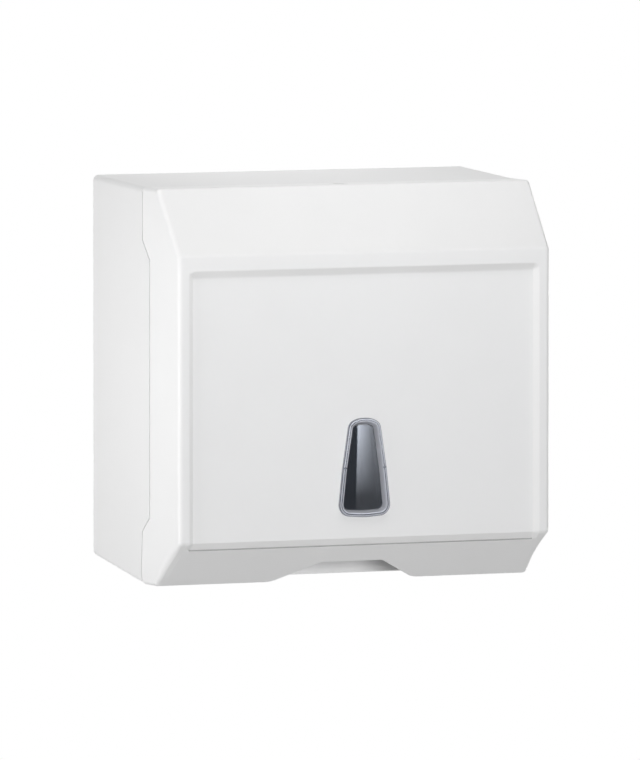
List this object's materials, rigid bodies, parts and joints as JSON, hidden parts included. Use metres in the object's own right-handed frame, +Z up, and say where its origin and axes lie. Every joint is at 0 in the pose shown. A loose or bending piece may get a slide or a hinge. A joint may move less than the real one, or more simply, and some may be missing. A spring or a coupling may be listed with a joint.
{
  "type": "paper towel dispenser",
  "caption": "Wall-mounted white folded paper towel dispenser: deep rear casing, drop-down front cover with sunk panel, level window and finger notch, slotted towel tray and a hook lock.",
  "frame": {"origin": "centre of the four wall screw holes, on the back face that lies on the wall", "axes": "+X to the right seen from the front, +Y into the wall, +Z up"},
  "size_m": [0.28, 0.144, 0.2751],
  "materials": {
    "white_abs": "satin moulded white plastic",
    "inner_abs": "matt moulded white plastic",
    "smoked_window": "clear smoked plastic",
    "zinc_steel": "zinc-plated",
    "white_acetal": "moulded white acetal"
  },
  "bodies": {
    "casing": {"rear_casing": "white_abs", "towel_tray": "inner_abs", "tray_screws": "zinc_steel", "strike_bracket": "zinc_steel", "strike_screws": "zinc_steel"},
    "cover": {"front_cover": "white_abs", "level_window": "smoked_window", "left_hinge_pin": "zinc_steel", "right_hinge_pin": "zinc_steel", "lock_barrel": "white_acetal", "lock_washer": "zinc_steel", "lock_nut": "zinc_steel"},
    "lock": {"lock_plug": "white_acetal", "lock_cam": "zinc_steel", "cam_screw": "zinc_steel"}
  },
  "joints": [
    {"name": "cover_hinge", "type": "hinge", "parent": "casing", "child": "cover", "pos_m": [0, -0.099, -0.14], "axis": [1, 0, 0], "range_deg": [0, 85]},
    {"name": "lock_turn", "type": "hinge", "parent": "cover", "child": "lock", "pos_m": [0, -0.0985, 0.11], "axis": [0, 0, -1], "range_deg": [0, 90]}
  ]
}
